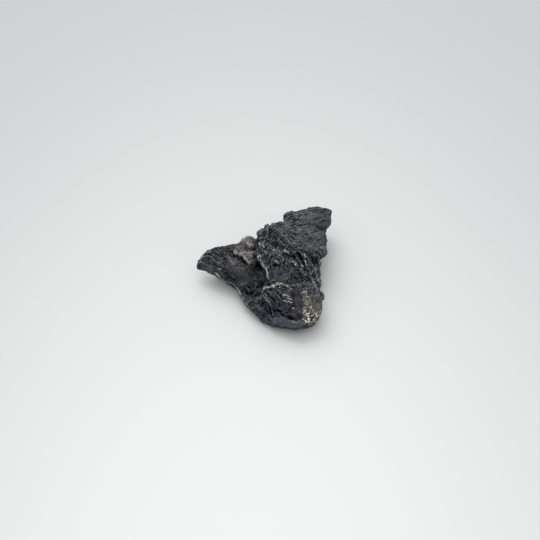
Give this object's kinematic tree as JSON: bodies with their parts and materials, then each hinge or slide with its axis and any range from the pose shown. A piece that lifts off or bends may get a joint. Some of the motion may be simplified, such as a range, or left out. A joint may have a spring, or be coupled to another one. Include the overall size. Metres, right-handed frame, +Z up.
{
  "type": "shrapnel iron meteorite",
  "caption": "Torn, twisted fragment of meteoritic iron: a stout folded body with a blunt nose, two flat arms and a knob, resting on three worn feet.",
  "frame": {"origin": "bottom centre of the fragment's box, on the surface that it rests on", "axes": "+Z up, +Y from the blunt nose to the back where the right arm ends, +X to the right arm's side; the left arm points to -X"},
  "size_m": [0.0454, 0.0504, 0.0126],
  "materials": {
    "iron_crust": "dark blue-grey oxide skin over iron, satin, bright on worn edges, with a granular torn patch at the nose and a pale knob with a rust stain"
  },
  "bodies": {
    "root": {"meteorite": "iron_crust"}
  },
  "joints": []
}
